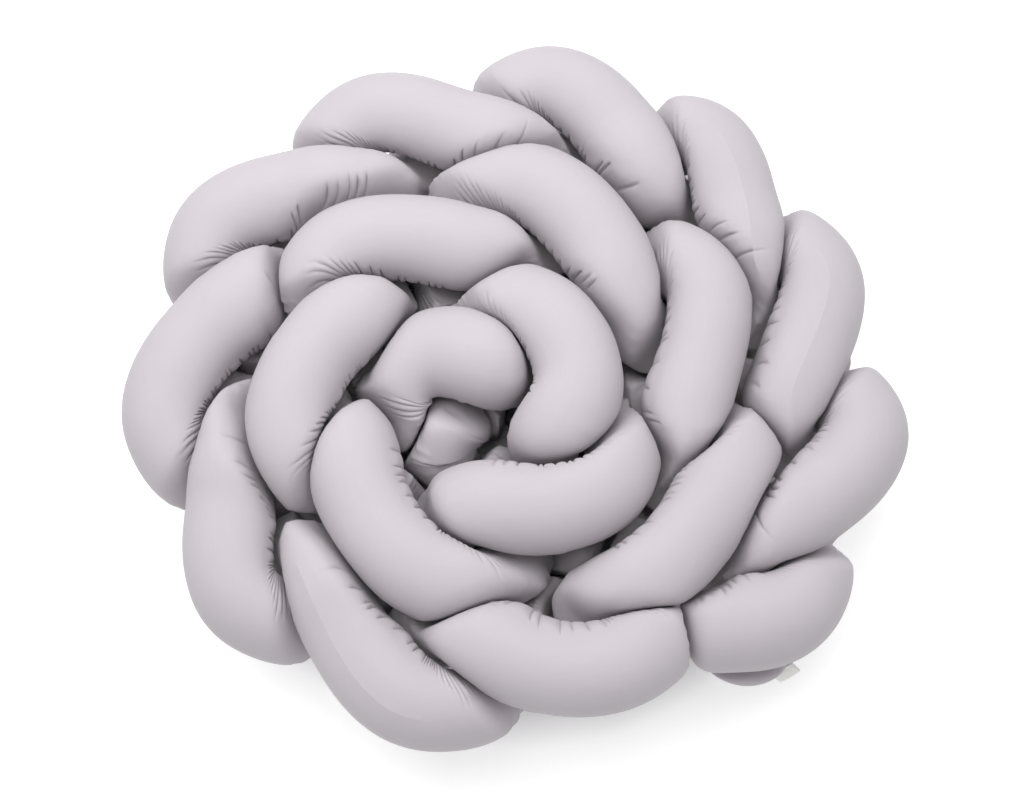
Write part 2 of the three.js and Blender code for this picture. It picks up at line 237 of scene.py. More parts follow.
class LabelSizes(bpy.types.PropertyGroup):
    """The blank label, a ribbon folded in half and sewn by both ends to the side of a tube's rounded end"""

    back: FloatProperty(name="Back", description="Along the tube from its end to the label's middle",
                        default=0.006, unit="LENGTH")
    grasp: FloatProperty(name="Grasp", description="Either side of it to where the seam's direction is taken",
                         default=0.004, unit="LENGTH")
    around: FloatProperty(name="Around", description="Its place round the tube from the top",
                          default=math.radians(282), subtype="ANGLE")
    length: FloatProperty(name="Length", description="Along the tube", default=0.020, unit="LENGTH")
    drop: FloatProperty(name="Drop", description="From the stitched edge to the fold",
                        default=0.0155, unit="LENGTH")
    thickness: FloatProperty(name="Thickness", description="Of the ribbon", default=0.0005, unit="LENGTH")
    parting: FloatProperty(name="Parting", description="Between the two leaves",
                           default=0.0008, unit="LENGTH")
    droop: FloatProperty(name="Droop", description="How far it hangs below square to the tube",
                         default=math.radians(30), subtype="ANGLE")
    stitch: FloatProperty(name="Stitch", description="Length of a stitch", default=0.0019, unit="LENGTH")
    stitch_gap: FloatProperty(name="Stitch gap", description="From one stitch to the next",
                              default=0.0026, unit="LENGTH")
    thread: FloatProperty(name="Thread", description="Thickness of the thread", default=0.0005, unit="LENGTH")
    colour: FloatVectorProperty(name="Ribbon", description="Colour of the label and its thread",
                                default=COLOURS["ribbon"], subtype="COLOR")


class StageSizes(bpy.types.PropertyGroup):
    """Floor, light and camera"""

    target: FloatVectorProperty(name="Target", description="The point that the camera looks at",
                                default=(-0.0008, -0.0220, 0.130), subtype="XYZ", unit="LENGTH")
    distance: FloatProperty(name="Distance", description="From the camera to its target",
                            default=1.165, unit="LENGTH")
    elevation: FloatProperty(name="Elevation", description="The camera's angle above the horizon",
                             default=math.radians(74), subtype="ANGLE")
    lens: FloatProperty(name="Lens", description="Focal length in millimetres", default=47.96, unit="CAMERA")
    sky_far: FloatProperty(name="Far sky", description="Strength of the light from behind the roll",
                           default=0.80)
    sky_near: FloatProperty(name="Near sky", description="Strength of the light from in front of it",
                            default=0.50)
    softbox: FloatProperty(name="Softbox", description="Power of the lamp above the roll",
                           default=12, unit="POWER")
    softbox_size: FloatProperty(name="Softbox size", description="Side of the square lamp",
                                default=1.2, unit="LENGTH")
    softbox_at: FloatVectorProperty(name="Softbox place", description="Where the lamp hangs",
                                    default=(-0.15, 0.27, 1.10), subtype="XYZ", unit="LENGTH")
    # Painted light: the floor's own glow, which washes out the roll's shadow away from its middle
    floor_glow: FloatProperty(name="Floor glow", description="Light that the floor gives off", default=0.35)
    glow_from: FloatProperty(name="Glow from", description="From the middle of the roll to where it begins",
                             default=0.26, unit="LENGTH")
    glow_full: FloatProperty(name="Glow full", description="From the middle of the roll to where it is full",
                             default=0.31, unit="LENGTH")
    floor_colour: FloatVectorProperty(name="Floor", description="Colour of the floor",
                                      default=(0.93, 0.93, 0.93), subtype="COLOR")


def unit(vectors):
    """The same directions, each of length 1."""
    return vectors / np.linalg.norm(vectors, axis=-1, keepdims=True)


def through(rows, column, at):
    """A smooth value through one column of the rows, row k lying at parameter k."""
    values = np.array([getattr(row, column) for row in rows], float)
    further = np.arange(1, MARGIN + 1)
    before = values[0] - further[::-1] * (values[1] - values[0])
    after = values[-1] + further * (values[-1] - values[-2])
    values = np.concatenate([before, values, after])
    k = np.floor(at).astype(int)
    t = at - k
    a, b, c, d = (values[k + MARGIN + step] for step in (-1, 0, 1, 2))
    return b + 0.5 * t * (c - a + t * (2 * a - 5 * b + 4 * c - d + t * (3 * (b - c) + d - a)))


def braid_plan(at):
    """Points of the braid's middle line in plan."""
    turn = np.radians(through(CRESTS, "turn", at))
    radius = through(CRESTS, "radius", at)
    return np.stack([EYE[0] + radius * np.sin(turn), EYE[1] + radius * np.cos(turn)], axis=-1)


def axis_points(braid, strand, at):
    """Points on the axis of one tube of the plait."""
    plan = braid_plan(at)
    along = unit(braid_plan(at + NUDGE) - braid_plan(at - NUDGE))
    phase = 2 * np.pi * (at - strand) / len(TUBES)
    aloft = 1 - ((1 - np.cos(phase)) / 2) ** braid.hold
    wide = braid.swing * through(CRESTS, "swing", at)
    swing = -wide * (np.sin(2 * phase) + braid.swing_skew * np.sin(4 * phase))
    outward = swing + (1 - aloft) * through(CRESTS, "foot", at)
    low = braid.tube_radius - braid.floor_sink
    height = low + aloft * (braid.high_axis + through(CRESTS, "crest", at) - low)
    return np.stack([plan[:, 0] - outward * along[:, 1], plan[:, 1] + outward * along[:, 0], height], axis=-1)


class Axis:
    """The middle line of one tube, measured by length from its beginning."""

    def __init__(self, braid, strand):
        tube = TUBES[strand]
        self.at = np.linspace(tube.begins, tube.ends, int((tube.ends - tube.begins) * POINTS_PER_CREST))
        self.points = axis_points(braid, strand, self.at)
        steps = np.linalg.norm(np.diff(self.points, axis=0), axis=1)
        self.lengths = np.concatenate([[0], np.cumsum(steps)])
        self.length = self.lengths[-1]
        self.trace_along = np.arange(0, self.length, TRACE_STEP)
        self.trace = self.point(self.trace_along)
        self.bend = (self.point(self.trace_along + BEND_SPAN) + self.point(self.trace_along - BEND_SPAN)
                     - 2 * self.trace) / BEND_SPAN**2
        self.bend[self.trace_along < BEND_SPAN] = 0
        self.bend[self.trace_along > self.length - BEND_SPAN] = 0

    def bend_at(self, along):
        return np.stack([np.interp(along, self.trace_along, self.bend[:, k]) for k in range(3)], axis=-1)

    def point(self, along):
        return np.stack([np.interp(along, self.lengths, self.points[:, k]) for k in range(3)], axis=-1)

    def tangent(self, along):
        ahead = np.minimum(along + TRACE_STEP, self.length)
        behind = np.maximum(along - TRACE_STEP, 0)
        return unit(self.point(ahead) - self.point(behind))

    def crest_at(self, along):
        return np.interp(along, self.lengths, self.at)


def placed_creases(axis, random):
    """Where the creases of a tube lie along it, how far they run up the cloth and how deep they are."""
    rows = []
    place = 0.0
    while place < axis.length:
        here = np.array([place])
        slope = axis.tangent(here)[0, 2]
        kind = ON_RISES if slope > CLIMB else ON_CRESTS
        share = random.random(3)
        if slope > DIVE and axis.point(here)[0, 2] > CREASED_ABOVE:
            run = kind.short + (kind.long - kind.short) * share[0] ** MOSTLY_SHORT
            rows.append((place, run, kind.shallow + (kind.deep - kind.shallow) * share[1]))
        place += kind.nearest + (kind.furthest - kind.nearest) * share[2] ** MOSTLY_NEAR
    return np.array(rows).T


def ring_places(braid, axis, creases):
    """Places along a tube where a ring of points is made, and how full the tube is there."""
    lean = (np.pi / 2) * np.arange(1, END_RINGS + 1) / (END_RINGS + 0.5)
    end_along = braid.end_length * (1 - np.cos(lean))
    end_full = np.sin(lean) ** braid.end_bluntness
    first, last = braid.end_length, axis.length - braid.end_length
    plain = np.linspace(first, last, round((last - first) / SMOOTH_STEP))
    clear = np.abs(plain[:, None] - creases[None]).min(axis=1) > CREASE_RINGS[-1] + SMOOTH_STEP / 4
    middle = np.sort(np.concatenate([plain[clear], (creases[:, None] + CREASE_RINGS).ravel()]))
    middle = middle[(middle > first + LEAST_STEP) & (middle < last - LEAST_STEP)]
    middle = middle[np.diff(middle, prepend=first) > LEAST_STEP]
    along = np.concatenate([end_along, [first], middle, [last], axis.length - end_along[::-1]])
    full = np.concatenate([end_full, np.ones(len(middle) + 2), end_full[::-1]])
    return along, full


def pressed_reach(braid, axes, strand, along, centre, spokes):
    """How far a tube reaches along each spoke before a neighbour presses on it.

    Two tubes share the room between them. The higher one takes more, and so does the one whose bend bulges
    toward the other.
    """
    bend = axes[strand].bend_at(along)
    full = braid.bulge * braid.tube_radius
    own_clearance = OWN_CLEARANCE * braid.tube_radius
    reach = np.full(spokes.shape[:2], FAR)
    for i, place in enumerate(along):
        for other, axis in enumerate(axes):
            toward = axis.trace - centre[i]
            apart = np.linalg.norm(toward, axis=1)
            near = apart < 2 * full
            if other == strand:
                near &= np.abs(axis.trace_along - place) > own_clearance
            if near.any():
                apart = apart[near]
                toward = toward[near] / apart[:, None]
                hollow = np.einsum("kd,kd->k", axis.bend[near] + bend[i], toward) * braid.tube_radius / 2
                lean = braid.overlap * toward[:, 2] + braid.yielding * hollow
                share = 0.5 - np.clip(lean, -braid.most_overlap, braid.most_overlap)
                room = np.clip(share * apart, apart - full, full)
                facing = np.maximum(toward @ spokes[i].T, TINY)
                reach[i] = np.minimum(reach[i], (room[:, None] / facing).min(axis=0))
    return np.maximum(reach - braid.squeeze_gap / 2, LEAST_REACH)


def evened(along, values, spread):
    """Values along a tube, with their sudden changes spread over a length of it."""
    places = np.arange(0, along[-1] + TRACE_STEP, TRACE_STEP)
    window = np.hanning(int(spread / TRACE_STEP))
    margin = len(window)
    padded = np.pad(np.interp(places, along, values), margin, mode="edge")
    smooth = np.convolve(padded, window / window.sum(), mode="same")[margin:-margin]
    return np.interp(along, places, smooth)


class Stuffing:
    """The filled form of one tube: rings of points, with the spokes that they lie on.

    Angles round the tube are measured from its top, toward the inside of the roll.
    """

    angle = np.concatenate([np.linspace(0, GATHERED_SIDE[0], TOP_POINTS, endpoint=False),
                            np.linspace(*GATHERED_SIDE, GATHERED_POINTS, endpoint=False),
                            np.linspace(GATHERED_SIDE[1], 2 * np.pi, OTHER_POINTS, endpoint=False)])

    def __init__(self, braid, axes, strand, seed):
        axis = axes[strand]
        self.creases, self.runs, self.depths = placed_creases(axis, np.random.default_rng(seed))
        self.along, full = ring_places(braid, axis, self.creases)
        self.at = axis.crest_at(self.along)
        self.centre = axis.point(self.along)
        tangent = axis.tangent(self.along)
        up = unit(UP - tangent * tangent[:, 2:])
        side = np.cross(tangent, up)
        self.spokes = up[:, None] * np.cos(self.angle)[:, None] + side[:, None] * np.sin(self.angle)[:, None]
        pressed = pressed_reach(braid, axes, strand, self.along, self.centre, self.spokes)
        floor = self.centre[:, None, 2] / np.maximum(-self.spokes[..., 2], TINY)
        inward = np.einsum("id,ijd->ij", axis.bend_at(self.along), self.spokes)
        pressed = np.minimum(pressed, BEND_SHARE / np.maximum(inward, TINY))
        self.most = np.minimum(pressed - CLOTH_CLEARANCE, floor)
        self.radius = braid.tube_radius
        girth = 2 * np.pi * self.radius
        free = np.full(len(self.along), self.radius)

        def reach(free):
            rounded = (free[:, None] ** -braid.shoulder + pressed ** -braid.shoulder) ** (-1 / braid.shoulder)
            return np.minimum(rounded, floor)

        for _ in range(SWELL_PASSES):
            ring = self.spokes * reach(free)[..., None]
            round_it = np.linalg.norm(np.roll(ring, -1, axis=1) - ring, axis=-1).sum(axis=1)
            free = np.minimum(braid.bulge * self.radius, free * np.sqrt(girth / round_it))
        final = reach(evened(self.along, free, SWELL_SPREAD) * full)
        self.points = self.centre[:, None] + self.spokes * final[..., None]
        self.ends = axis.point(np.array([0, axis.length]))
        self.length = axis.length
        self.meeting, self.held = self.meeting_line(final / pressed, side)

    def meeting_line(self, closeness, inward):
        """The angle at which each ring meets its neighbour on the inside of the roll, and how firmly."""
        furthest = FURTHEST_MEETING - FURTHER_BEHIND * inward[:, 1]
        met = (closeness > MET) & (self.angle < furthest[:, None])
        first = np.where(met.any(axis=1), self.angle[met.argmax(axis=1)], furthest)
        held = evened(self.along, met.any(axis=1).astype(float), MEETING_SPREAD)
        return evened(self.along, first, MEETING_SPREAD), held

    def surface(self, along, around):
        """A point on the form, by its place along the tube and its angle, and the tube's middle near it."""
        ring = np.clip(np.searchsorted(self.along, along), 1, len(self.along) - 1)
        blend = (along - self.along[ring - 1]) / (self.along[ring] - self.along[ring - 1])
        column = np.interp(around, np.append(self.angle, 2 * np.pi), np.arange(len(self.angle) + 1))
        k = int(column)
        sides = self.points[ring - 1 : ring + 1]
        pair = sides[:, k] + (column - k) * (sides[:, (k + 1) % len(self.angle)] - sides[:, k])
        return pair[0] + blend * (pair[1] - pair[0]), self.centre[ring]


def unevenness(random, stuffing, spread):
    """Smooth noise of unit strength on a tube's cloth.

    spread: its size along the tube, and round it in radians.
    """
    rows = int(stuffing.length / NOISE_STEP) + 2
    lengthwise = np.fft.fftfreq(rows)[:, None] * spread[0] / NOISE_STEP
    around = np.fft.rfftfreq(NOISE_SIDES)[None] * spread[1] * NOISE_SIDES / (2 * np.pi)
    smooth = np.exp(-2 * np.pi**2 * (lengthwise**2 + around**2))
    raw = random.standard_normal((rows, NOISE_SIDES))
    noise = np.fft.irfft2(np.fft.rfft2(raw) * smooth, raw.shape)
    noise /= noise.std()
    row, along = np.divmod(stuffing.along[:, None] / NOISE_STEP, 1)
    column, across = np.divmod(stuffing.angle[None] * NOISE_SIDES / (2 * np.pi), 1)
    row, column = row.astype(int), column.astype(int)
    after = (column + 1) % NOISE_SIDES
    here = noise[row, column] * (1 - across) + noise[row, after] * across
    further = noise[row + 1, column] * (1 - across) + noise[row + 1, after] * across
    return here * (1 - along) + further * along


def outward_normals(points):
    """Directions out of a tube's surface at its rings of points."""
    lengthwise = np.gradient(points, axis=0)
    around = np.roll(points, -1, axis=1) - np.roll(points, 1, axis=1)
    return unit(np.cross(around, lengthwise))


def smooth_step(value):
    """From 0 to 1 as the value does, starting and ending gently."""
    value = np.clip(value, 0, 1)
    return value * value * (3 - 2 * value)


def gather(cloth, stuffing):
    """How far the cloth sinks into creases and puffs out between them, by the line where two tubes meet."""
    creases = stuffing.creases
    after = np.clip(np.searchsorted(creases, stuffing.along), 1, len(creases) - 1)
    apart = creases[after] - creases[after - 1]
    across = np.clip((stuffing.along - creases[after - 1]) / apart, 0, 1)
    nearer = np.where(across < 0.5, after - 1, after)
    away = np.abs(stuffing.along - creases[nearer])
    angle = (stuffing.angle + np.pi / 2) % (2 * np.pi) - np.pi / 2
    up = (stuffing.meeting[:, None] - angle) * stuffing.radius
    hidden = smooth_step(1 + up / (UNDER * stuffing.radius))
    depth = stuffing.depths[nearer] * (FREE_SHARE + (1 - FREE_SHARE) * stuffing.held)
    trough = (depth * np.exp(-away / CREASE_WIDTH))[:, None]
    drawn = smooth_step(1 - up / stuffing.runs[nearer][:, None])
    puff = (cloth.puff * np.minimum(1, apart / cloth.puff_run) * np.sin(np.pi * across))[:, None]
    puffed = smooth_step(1 - up / cloth.puff_run)
    return hidden * (puff * puffed - trough * drawn)


def seam_edges(tube, stuffing):
    """How far the long seam draws a tube up into a low edge, and where that edge is sharp."""
    offset = np.zeros(stuffing.points.shape[:2])
    sharp = np.zeros(offset.shape, bool)
    for seam in SEAMS:
        if seam.tube == tube.name:
            column = np.argmin(np.abs(stuffing.angle - math.radians(seam.degrees)))
            turned = (stuffing.angle - stuffing.angle[column] + np.pi) % (2 * np.pi) - np.pi
            inside = np.minimum(stuffing.at - seam.begins, seam.ends - stuffing.at)
            shown = seam.ridge * smooth_step(inside / SEAM_FADE)
            offset += shown[:, None] * np.exp(-np.abs(turned) * stuffing.radius / SEAM_SPREAD)
            sharp[:, column] |= inside > 0
    return offset, sharp


def moved(along, values, places):
    """Values given for each ring and side of a tube, taken at other places along it."""
    after = np.clip(np.searchsorted(along, places), 1, len(along) - 1)
    blend = np.clip((places - along[after - 1]) / (along[after] - along[after - 1]), 0, 1)
    side = np.arange(places.shape[1])
    if values.ndim == 3:
        blend = blend[..., None]
    return values[after - 1, side] + blend * (values[after, side] - values[after - 1, side])


def dressed(cloth, tube, stuffing, random):
    """The points of a tube's cloth, kept inside the room that the tube has, and where its seam is sharp."""
    along = stuffing.along
    seam, sharp = seam_edges(tube, stuffing)
    offset = seam + gather(cloth, stuffing) + cloth.lumps * unevenness(random, stuffing, LUMP_SPREAD)
    inside = smooth_step(np.minimum(along, stuffing.length - along) / SLIDE_FADE)[:, None]
    places = along[:, None] + cloth.wander * unevenness(random, stuffing, WANDER_SPREAD) * inside
    middle = moved(along, np.broadcast_to(stuffing.centre[:, None], stuffing.points.shape), places)
    spokes = moved(along, stuffing.spokes, places)
    most = moved(along, stuffing.most, places)
    points = moved(along, stuffing.points, places)
    points = points + outward_normals(points) * offset[..., None]
    reach = np.einsum("ijk,ijk->ij", points - middle, spokes)
    points -= np.maximum(reach - most, 0)[..., None] * spokes
    points[..., 2] = np.maximum(points[..., 2], 0)
    return points, sharp


def tube_mesh(name, points, stuffing, sharp):
    """A closed smooth mesh through the rings of points, with a UV map in metres of cloth."""
    rings, sides = points.shape[:2]
    vertices = np.concatenate([stuffing.ends[:1], points.reshape(-1, 3), stuffing.ends[1:]])
    last = len(vertices) - 1
    row = 1 + sides * np.arange(rings - 1)[:, None]
    column = np.arange(sides)[None]
    after = (column + 1) % sides
    quads = np.stack([row + column, row + after, row + sides + after, row + sides + column], axis=-1)
    first_ring = 1 + np.arange(sides)
    last_ring = first_ring + sides * (rings - 1)
    start = np.stack([np.zeros(sides, int), np.roll(first_ring, -1), first_ring], axis=-1)
    finish = np.stack([np.full(sides, last), last_ring, np.roll(last_ring, -1)], axis=-1)
    faces = quads.reshape(-1, 4).tolist() + start.tolist() + finish.tolist()
    mesh = bpy.data.meshes.new(name)
    mesh.from_pydata(vertices, [], faces)
    mesh.polygons.foreach_set("use_smooth", np.ones(len(faces), bool))
    along = stuffing.along
    u = along[:, None]
    v = stuffing.radius * np.append(stuffing.angle, 2 * np.pi)[None]
    corners = [(u[:-1], v[:, :-1]), (u[:-1], v[:, 1:]), (u[1:], v[:, 1:]), (u[1:], v[:, :-1])]
    quad_uv = np.stack([np.stack(np.broadcast_arrays(*corner), axis=-1) for corner in corners], axis=2)
    middle = (v[0, :-1] + v[0, 1:]) / 2

    def cap_uv(pole, ring, left, right):
        at = [(np.full(sides, pole), middle), (np.full(sides, ring), left), (np.full(sides, ring), right)]
        return np.stack([np.stack(pair, axis=-1) for pair in at], axis=1)

    start_uv = cap_uv(0.0, along[0], v[0, 1:], v[0, :-1])
    finish_uv = cap_uv(stuffing.length, along[-1], v[0, :-1], v[0, 1:])
    uv = np.concatenate([part.reshape(-1, 2) for part in (quad_uv, start_uv, finish_uv)])
    mesh.uv_layers.new(name="Cloth").data.foreach_set("uv", uv.astype(np.float32).ravel())
    edges = np.zeros(2 * len(mesh.edges), np.int32)
    mesh.edges.foreach_get("vertices", edges)
    edges = edges.reshape(-1, 2)
    lengthwise = np.abs(edges[:, 0] - edges[:, 1]) == sides
    marked = np.concatenate([[False], sharp.ravel(), [False]])
    on_seam = lengthwise & marked[edges].all(axis=1)
    mesh.attributes.new("sharp_edge", "BOOLEAN", "EDGE").data.foreach_set("value", on_seam)
    return mesh


def set_inputs(tree, node, inputs):
    """Gives a node's inputs their values, or joins them to the sockets of other nodes."""
    for key, value in inputs.items():
        if isinstance(value, bpy.types.NodeSocket):
            tree.links.new(value, node.inputs[key])
        else:
            node.inputs[key].default_value = value


def node_adder(tree):
    """A function that adds a node of a kind to the tree, with its settings and inputs."""

    def add(kind, inputs=None, **settings):
        node = tree.nodes.new(kind)
        for key, value in settings.items():
            setattr(node, key, value)
        set_inputs(tree, node, inputs or {})
        return node

    return add


def cloth_nodes(name, colour, roughness):
    """A material with its shader's plain values set, and a function that adds nodes to it."""
    material = bpy.data.materials.new(name)
    material.use_nodes = True
    tree = material.node_tree
    shader = tree.nodes["Principled BSDF"]
    set_inputs(tree, shader, {"Base Color": (*colour, 1), "Roughness": roughness, "Specular IOR Level": 0.25})
    return material, shader, tree, node_adder(tree)


def weave_bump(tree, shader, add, cloth_map, pitch, height):
    """Threads that cross each other, as a bump on the shader. Gives the bump's node."""
    # A wave repeats every pi / 10 of its scaled vector
    thread = {"Vector": cloth_map, "Scale": math.pi / (10 * pitch), "Distortion": 0.6, "Detail": 1.0}
    ways = [add("ShaderNodeTexWave", thread, wave_type="BANDS", bands_direction=way) for way in ("X", "Y")]
    crossing = {k: wave.outputs["Fac"] for k, wave in enumerate(ways)}
    over = add("ShaderNodeMath", crossing, operation="MAXIMUM").outputs["Value"]
    bump = add("ShaderNodeBump", {"Height": over, "Distance": height, "Strength": 0.5})
    set_inputs(tree, shader, {"Normal": bump.outputs["Normal"]})
    return bump


def cotton_material(colour):
    """Smooth percale: a fine weave, threads of uneven tone, small creases and a faint sheen."""
    material, shader, tree, add = cloth_nodes("lilac_grey_cotton", colour, roughness=0.78)
    set_inputs(tree, shader, {"Sheen Weight": 0.10, "Sheen Roughness": 0.4})
    cloth_map = add("ShaderNodeUVMap", uv_map="Cloth").outputs["UV"]
    bump = weave_bump(tree, shader, add, cloth_map, pitch=0.0006, height=0.00012)
    place = add("ShaderNodeTexCoord").outputs["Object"]
    long_threads = add("ShaderNodeMapping", {"Vector": cloth_map, "Scale": (40, 900, 1)}).outputs["Vector"]
    slub = add("ShaderNodeTexNoise", {"Vector": long_threads, "Scale": 1.0, "Detail": 2.0}).outputs["Fac"]
    mottle = add("ShaderNodeTexNoise", {"Vector": place, "Scale": 14.0, "Detail": 3.0}).outputs["Fac"]
    both = add("ShaderNodeMath", {0: slub, 1: mottle}, operation="ADD").outputs["Value"]
    tone = add("ShaderNodeMapRange", {"Value": both, "From Min": 0.6, "From Max": 1.4,
                                      "To Min": 0.98, "To Max": 1.02}).outputs["Result"]
    tinted = add("ShaderNodeVectorMath", {0: colour, "Scale": tone}, operation="SCALE").outputs["Vector"]
    worn = add("ShaderNodeMapRange", {"Value": mottle, "To Min": 0.72, "To Max": 0.84}).outputs["Result"]
    set_inputs(tree, shader, {"Base Color": tinted, "Roughness": worn})
    crumple = add("ShaderNodeTexNoise", {"Vector": place, "Scale": 55.0, "Detail": 4.0, "Roughness": 0.55})
    soft = add("ShaderNodeBump", {"Height": crumple.outputs["Fac"], "Distance": 0.0012, "Strength": 0.25})
    set_inputs(tree, bump, {"Normal": soft.outputs["Normal"]})
    return material


def ribbon_material(colour):
    """White woven ribbon of slightly uneven tone."""
    material, shader, tree, add = cloth_nodes("white_ribbon", colour, roughness=0.6)
    cloth_map = add("ShaderNodeUVMap", uv_map="Cloth").outputs["UV"]
    weave_bump(tree, shader, add, cloth_map, pitch=0.0005, height=0.0002)
    mottle = add("ShaderNodeTexNoise", {"Vector": cloth_map, "Scale": 400.0, "Detail": 2.0}).outputs["Fac"]
    tone = add("ShaderNodeMapRange", {"Value": mottle, "To Min": 0.95, "To Max": 1.04}).outputs["Result"]
    tinted = add("ShaderNodeVectorMath", {0: colour, "Scale": tone}, operation="SCALE").outputs["Vector"]
    set_inputs(tree, shader, {"Base Color": tinted})
    return material


def thread_material(colour):
    """Polished sewing thread, with its twist as a bump."""
    material, shader, tree, add = cloth_nodes("sewing_thread", colour, roughness=0.5)
    place = add("ShaderNodeTexCoord").outputs["Object"]
    twist = add("ShaderNodeTexNoise", {"Vector": place, "Scale": 3000.0, "Detail": 1.0}).outputs["Fac"]
    bump = add("ShaderNodeBump", {"Height": twist, "Distance": 0.00005, "Strength": 0.6})
    set_inputs(tree, shader, {"Normal": bump.outputs["Normal"]})
    return material


def add_piece(name, data):
    """An object in the scene that shows a mesh, a lamp or a camera."""
    piece = bpy.data.objects.new(name, data)
    bpy.context.scene.collection.objects.link(piece)
    return piece


class BUMPER_OT_tubes(bpy.types.Operator):
    """Makes the stuffed tubes of the plait, with their cloth gathered on the inside of the roll"""

    bl_idname = "bumper.tubes"
    bl_label = "Stuffed tubes"

    def execute(self, context):
        braid = context.scene.bumper_braid
        cloth = context.scene.bumper_cloth
        axes = [Axis(braid, strand) for strand in range(len(TUBES))]
        cotton = cotton_material(cloth.colour)
        for strand, tube in enumerate(TUBES):
            stuffing = Stuffing(braid, axes, strand, cloth.seed + strand)
            points, sharp = dressed(cloth, tube, stuffing, np.random.default_rng(cloth.seed + strand))
            mesh = tube_mesh(tube.name + "_cloth", points, stuffing, sharp)
            mesh.materials.append(cotton)
            piece = add_piece(tube.name + "_cloth", mesh)
            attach(piece, BODY)
            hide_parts(tube.name)
        return {"FINISHED"}


def label_path(sizes):
    """The ribbon from one stitched end round the fold to the other: distances out, and distances aside."""
    bend = (sizes.thickness + sizes.parting) / 2
    out = np.linspace(0, sizes.drop - bend, LEAF_POINTS)
    swell = 1 + LEAF_SWELL * np.sin(np.pi * out / sizes.drop)
    lean = np.linspace(0, np.pi, FOLD_POINTS + 2)[1:-1]
    far = np.concatenate([out, sizes.drop - bend + bend * np.sin(lean), out[::-1]])
    aside = np.concatenate([bend * swell, bend * np.cos(lean), -bend * swell[::-1]])
    return far, aside


def label_mesh(sizes, stuffing):
    """The ribbon's middle surface, the two lines along which it is stitched, and its length laid flat."""
    along = stuffing.length - sizes.back
    before, _ = stuffing.surface(along - sizes.grasp, sizes.around)
    after, _ = stuffing.surface(along + sizes.grasp, sizes.around)
    lengthwise = unit(after - before)
    point, middle = stuffing.surface(along, sizes.around)
    roots = point + np.linspace(-0.5, 0.5, LABEL_ROWS)[:, None] * sizes.length * lengthwise
    square = unit(point - middle - lengthwise * ((point - middle) @ lengthwise))
    turn = Matrix.Rotation(-sizes.droop, 3, Vector(lengthwise))
    out = np.array(turn @ Vector(square))
    beside = np.cross(lengthwise, out)
    far, aside = label_path(sizes)
    curl = CURL * np.sin(np.linspace(*CURL_WAVE, LABEL_ROWS))[:, None] * (far / sizes.drop) ** 2
    grid = roots[:, None] + far[None, :, None] * out + (aside[None] + curl)[..., None] * beside
    columns = len(far)
    corner = (np.arange(LABEL_ROWS - 1)[:, None] * columns + np.arange(columns - 1)).reshape(-1, 1)
    faces = corner + np.array([0, 1, columns + 1, columns])
    mesh = bpy.data.meshes.new("label_ribbon")
    mesh.from_pydata(grid.reshape(-1, 3), [], faces.tolist())
    mesh.polygons.foreach_set("use_smooth", np.ones(len(faces), bool))
    steps = np.hypot(np.diff(far), np.diff(aside))
    v = np.concatenate([[0], np.cumsum(steps)])
    u = np.linspace(0, sizes.length, LABEL_ROWS)
    flat = np.stack(np.broadcast_arrays(u[:, None], v[None]), axis=-1).reshape(-1, 2)
    corners = np.zeros(len(mesh.loops), np.int32)
    mesh.loops.foreach_get("vertex_index", corners)
    mesh.uv_layers.new(name="Cloth").data.foreach_set("uv", flat[corners].astype(np.float32).ravel())
    proud = (sizes.thickness + sizes.thread / 2) / 2
    lines = [grid[1:-1, STITCH_POINT] + proud * beside, grid[1:-1, -1 - STITCH_POINT] - proud * beside]
    return mesh, lines, v[-1]


def stitch_tree(thread):
    """Geometry nodes that set short stitches of thread along every line of the mesh."""
    tree = bpy.data.node_groups.new("stitches", "GeometryNodeTree")
    interface = tree.interface
    interface.new_socket("Geometry", in_out="INPUT", socket_type="NodeSocketGeometry")
    sockets = {name: interface.new_socket(name, in_out="INPUT", socket_type="NodeSocketFloat").identifier
               for name in ("Stitch length", "Stitch gap", "Thread thickness")}
    interface.new_socket("Geometry", in_out="OUTPUT", socket_type="NodeSocketGeometry")

    add = node_adder(tree)

    def half(length):
        return add("ShaderNodeMath", {0: length, 1: 0.5}, operation="MULTIPLY").outputs["Value"]

    given = add("NodeGroupInput").outputs
    curve = add("GeometryNodeMeshToCurve", {"Mesh": given["Geometry"]}).outputs["Curve"]
    places = add("GeometryNodeCurveToPoints", {"Curve": curve, "Length": given["Stitch gap"]}, mode="LENGTH")
    radius = half(given["Thread thickness"])
    ball = add("GeometryNodeMeshUVSphere", {"Segments": 8, "Rings": 6, "Radius": radius}).outputs["Mesh"]
    half_stitch = half(given["Stitch length"])
    longer = add("ShaderNodeMath", {0: half_stitch, 1: radius}, operation="DIVIDE").outputs["Value"]
    shape = add("ShaderNodeCombineXYZ", {"X": 1.0, "Y": 1.0, "Z": longer}).outputs["Vector"]
    stitches = add("GeometryNodeInstanceOnPoints", {"Points": places.outputs["Points"], "Instance": ball,
                                                    "Rotation": places.outputs["Rotation"], "Scale": shape})
    instances = stitches.outputs["Instances"]
    solid = add("GeometryNodeRealizeInstances", {"Geometry": instances}).outputs["Geometry"]
    finished = add("GeometryNodeSetMaterial", {"Geometry": solid, "Material": thread}).outputs["Geometry"]
    add("NodeGroupOutput", {"Geometry": finished})
    return tree, sockets


def applied(piece):
    """Turns a piece and its modifiers into a plain mesh."""
    bpy.context.view_layer.update()
    evaluated = piece.evaluated_get(bpy.context.evaluated_depsgraph_get())
    mesh = bpy.data.meshes.new_from_object(evaluated)
    piece.modifiers.clear()
    piece.data = mesh


